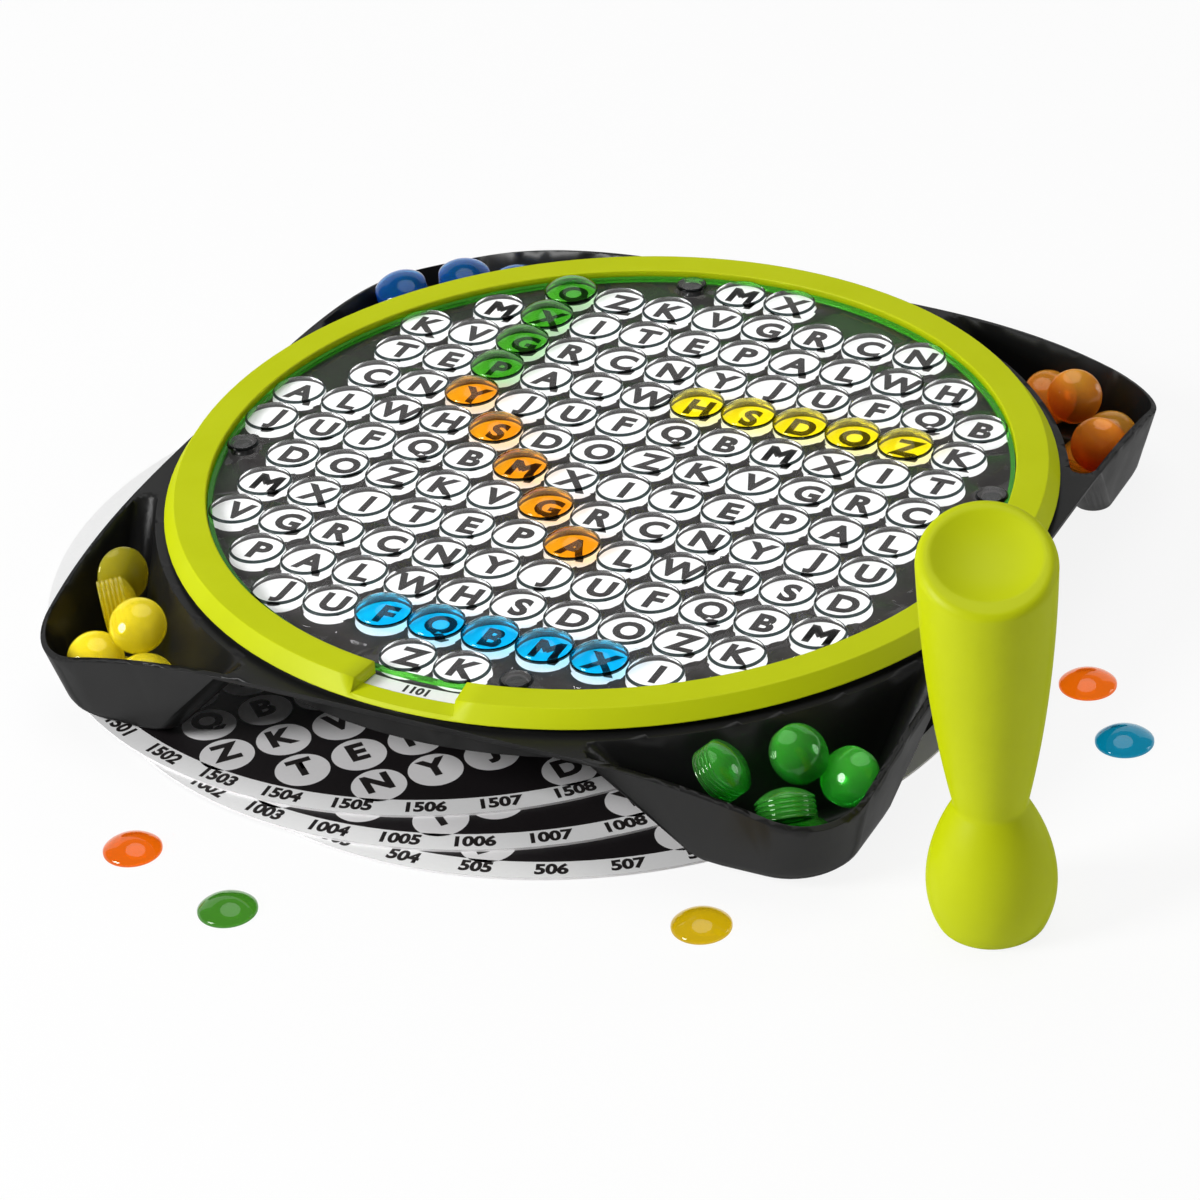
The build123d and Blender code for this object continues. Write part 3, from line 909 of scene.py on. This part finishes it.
def white_studio():
    """A pale paper that keeps some shadow and shows near white, also in gloss and through clear pieces."""
    material, nodes, links, shader = new_material("pale studio paper")
    fibres = object_noise(nodes, links, PAPER_SCALE).outputs["Fac"]
    links.new(tinted(nodes, links, fibres, PAPER_WHITE, PAPER_SHADE), shader.inputs["Base Color"])
    shader.inputs["Roughness"].default_value = PAPER_ROUGHNESS
    glow = nodes.new("ShaderNodeEmission")
    path = nodes.new("ShaderNodeLightPath")
    seen = path.outputs["Is Camera Ray"]
    for ray in ("Is Glossy Ray", "Is Transmission Ray"):
        either = nodes.new("ShaderNodeMath")
        either.operation = "MAXIMUM"
        links.new(seen, either.inputs[0])
        links.new(path.outputs[ray], either.inputs[1])
        seen = either.outputs["Value"]
    share = nodes.new("ShaderNodeMath")
    share.operation = "MULTIPLY"
    share.inputs[1].default_value = PAPER_GLOW
    links.new(seen, share.inputs[0])
    mix = nodes.new("ShaderNodeMixShader")
    links.new(share.outputs["Value"], mix.inputs["Fac"])
    links.new(shader.outputs["BSDF"], mix.inputs[1])
    links.new(glow.outputs["Emission"], mix.inputs[2])
    links.new(mix.outputs["Shader"], nodes["Material Output"].inputs["Surface"])
    return material


def studio_sweep(radius, bend, height):
    """A round floor whose edge sweeps up into a low backdrop."""
    profile = [(radius - bend, 0.0)]
    for step in range(1, BEND_STEPS + 1):
        angle = math.pi / 2 * step / BEND_STEPS
        profile.append((radius - bend * (1 - math.sin(angle)), bend * (1 - math.cos(angle))))
    profile.append((radius, height))
    bm = bmesh.new()
    rings = [[bm.verts.new(p) for p in ring_points(r, z, FLOOR_STEPS)] for r, z in profile]
    bm.faces.new(rings[0])
    for inner, outer in zip(rings, rings[1:]):
        bridge(bm, outer, inner)
    mesh = mesh_from(bm, "studio_sweep")
    mesh.polygons.foreach_set("use_smooth", [True] * len(mesh.polygons))
    return mesh


def back_card(radius, low, high, heading, half_angle):
    """An upright curved card behind the board, which gives clear and smooth tops a soft sheen."""
    bm = bmesh.new()
    columns = []
    for step in range(CARD_STEPS + 1):
        angle = heading + half_angle * (2 * step / CARD_STEPS - 1)
        x, y = radius * math.cos(angle), radius * math.sin(angle)
        columns.append((bm.verts.new((x, y, low)), bm.verts.new((x, y, high))))
    for (low_one, high_one), (low_two, high_two) in zip(columns, columns[1:]):
        bm.faces.new((low_two, low_one, high_one, high_two))
    return mesh_from(bm, "back_card")


def soft_world(strength):
    """Faint even light from all round."""
    world = bpy.data.worlds.new("studio")
    world.use_nodes = True
    background = world.node_tree.nodes["Background"]
    background.inputs["Color"].default_value = (1, 1, 1, 1)
    background.inputs["Strength"].default_value = strength
    bpy.context.scene.world = world


def photo_camera():
    """The camera at the photograph's angle."""
    level = math.cos(CAMERA_ELEVATION)
    right = Vector((math.cos(CAMERA_AZIMUTH), math.sin(CAMERA_AZIMUTH), 0))
    back = Vector((right.y * level, -right.x * level, math.sin(CAMERA_ELEVATION)))
    up = back.cross(right)
    across = math.cos(CAMERA_ROLL) * right + math.sin(CAMERA_ROLL) * up
    upwards = math.cos(CAMERA_ROLL) * up - math.sin(CAMERA_ROLL) * right
    lens = bpy.data.cameras.new("photo camera")
    lens.lens = CAMERA_LENS
    lens.sensor_width = CAMERA_SENSOR
    lens.clip_end = CAMERA_REACH
    camera = linked("photo camera", lens)
    turn = Matrix((across, upwards, back)).transposed().to_4x4()
    camera.matrix_world = Matrix.Translation(CAMERA_PLACE) @ turn
    bpy.context.scene.camera = camera


class BOARD_OT_stage(bpy.types.Operator):
    """Set the floor, the lamps and the camera"""

    bl_idname = "board.stage"
    bl_label = "Stage"

    def execute(self, context):
        paper = white_studio()
        sweep = studio_sweep(FLOOR_RADIUS, FLOOR_BEND, FLOOR_EDGE_HEIGHT)
        sweep.transform(Matrix.Translation((0, 0, -FLOOR_DROP)))
        card = back_card(CARD_RADIUS, CARD_LOW, CARD_HIGH, CARD_HEADING, CARD_HALF_ANGLE)
        for mesh in (sweep, card):
            mesh.materials.append(paper)
            piece = linked(mesh.name, mesh)
        soft_world(WORLD_STRENGTH)
        soft_lamp("key lamp", place=(-1.0, -1.2, 0.95), target=(0, 0, 0.02), size=0.7, power=29)
        soft_lamp("top lamp", place=(-0.1, 0.3, 1.9), target=(0, 0, 0.03), size=1.6, power=13)
        soft_lamp("rim lamp", place=(1.4, 0.9, 0.6), target=(0.1, -0.05, 0.05), size=0.6, power=4)
        photo_camera()
        context.scene.view_settings.view_transform = "Standard"
        return {"FINISHED"}


class BOARD_PT_panel(bpy.types.Panel):
    """Lists the pieces of the board game"""

    bl_idname = "BOARD_PT_panel"
    bl_label = "Board Game"
    bl_space_type = "VIEW_3D"
    bl_region_type = "UI"
    bl_category = "Board Game"

    def draw(self, context):
        for operator in OPERATORS:
            self.layout.operator(operator.bl_idname)


OPERATORS = (
    BOARD_OT_tray_and_ring,
    BOARD_OT_print_discs,
    BOARD_OT_clear_cover,
    BOARD_OT_tokens,
    BOARD_OT_stage,
)
CLASSES = (BoardSizes, BoardFinishes, *OPERATORS, BOARD_PT_panel)


def register():
    """Register the classes and hang the settings on the scene."""
    for item in CLASSES:
        bpy.utils.register_class(item)
    bpy.types.Scene.board_sizes = PointerProperty(type=BoardSizes)
    bpy.types.Scene.board_finishes = PointerProperty(type=BoardFinishes)


def unregister():
    """Take the settings and the classes away again."""
    del bpy.types.Scene.board_finishes
    del bpy.types.Scene.board_sizes
    for item in reversed(CLASSES):
        bpy.utils.unregister_class(item)


def main():
    """Build every piece and the stage."""
    register()
    bpy.ops.board.tray_and_ring()
    bpy.ops.board.print_discs()
    bpy.ops.board.clear_cover()
    bpy.ops.board.tokens()
    bpy.ops.board.stage()


if __name__ == "__main__":
    main()
